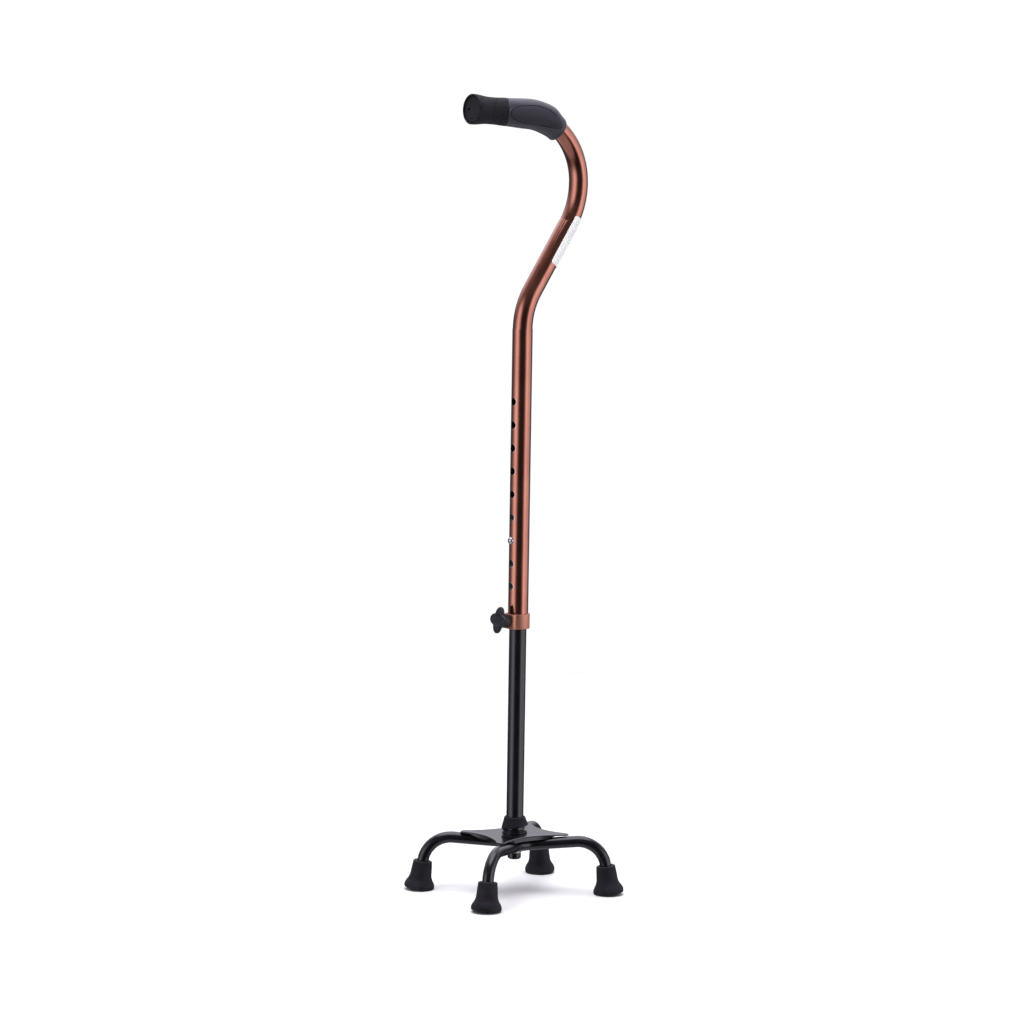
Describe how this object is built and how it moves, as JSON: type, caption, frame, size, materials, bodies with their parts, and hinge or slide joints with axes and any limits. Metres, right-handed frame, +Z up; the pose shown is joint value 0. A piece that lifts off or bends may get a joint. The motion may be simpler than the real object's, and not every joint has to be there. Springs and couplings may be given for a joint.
{
  "type": "quad walking cane",
  "caption": "Height-adjustable walking cane with an offset swan neck, a soft grip, a clamp knob and a splayed four-legged base.",
  "frame": {"origin": "on the floor, at the middle of the four feet, under the pole's axis", "axes": "+Z up along the pole, +X forward, the way the grip points, +Y to the left of a user who looks forward"},
  "size_m": [0.1978, 0.164, 0.8772],
  "materials": {
    "copper_coat": "copper coloured gloss coat over aluminium tube",
    "black_gloss": "gloss black enamel over steel",
    "black_rubber": "matt moulded rubber",
    "grip_rubber": "satin dark grey rubber",
    "grip_rough": "fine textured dark rubber",
    "grip_inlay": "soft matt rubber pad",
    "black_plastic": "moulded black plastic",
    "steel": "polished spring steel",
    "zinc": "zinc plated steel",
    "nylon": "natural nylon",
    "label_white": "blank satin label"
  },
  "bodies": {
    "base": {"base_plate": "black_gloss", "leg_tube_left": "black_gloss", "leg_tube_right": "black_gloss", "ferrule_front_left": "black_rubber", "ferrule_front_right": "black_rubber", "ferrule_rear_left": "black_rubber", "ferrule_rear_right": "black_rubber", "tip_washer_front_left": "zinc", "tip_washer_front_right": "zinc", "tip_washer_rear_left": "zinc", "tip_washer_rear_right": "zinc", "tube_socket": "black_gloss", "boot": "black_rubber", "bottom_plug": "zinc", "base_bolt": "black_gloss", "bolt_washer": "zinc", "base_spacer": "black_gloss", "lower_tube": "black_gloss", "guide_bush": "nylon", "snap_spring": "steel"},
    "button": {"snap_button": "steel"},
    "upper": {"upper_tube": "copper_coat", "clamp_band": "copper_coat", "clamp_nut": "zinc", "grip_body": "grip_rubber", "grip_sleeve": "grip_rough", "grip_end_cap": "grip_rough", "grip_inlay_left": "grip_inlay", "grip_inlay_right": "grip_inlay", "tube_end_plug": "black_plastic", "label": "label_white"},
    "clamp_pad": {"clamp_pad": "nylon"},
    "knob": {"knob_head": "black_plastic", "knob_screw": "zinc"}
  },
  "joints": [
    {"name": "height_slide", "type": "slide", "parent": "base", "child": "upper", "axis": [0, 0, 1], "range_m": [-0.1524, 0.0508], "deforming": ["snap_button"]},
    {"name": "button_press", "type": "slide", "parent": "base", "child": "button", "axis": [1, 0, 0], "range_m": [-0.0055, 0], "stiffness_N_per_m": 600, "springref_m": 0.002, "deforming": ["snap_spring"]},
    {"name": "clamp_advance", "type": "slide", "parent": "upper", "child": "clamp_pad", "axis": [0.9848, 0, 0.1736], "range_m": [0, 0.002]},
    {"name": "knob_turn", "type": "hinge", "parent": "clamp_pad", "child": "knob", "pos_m": [0, 0, 0.3005], "axis": [0.9848, 0, 0.1736], "range_deg": [0, 720]}
  ],
  "couplings": [
    {"joint": "knob_turn", "follows": "clamp_advance", "rad_per_m": 6283.2}
  ]
}
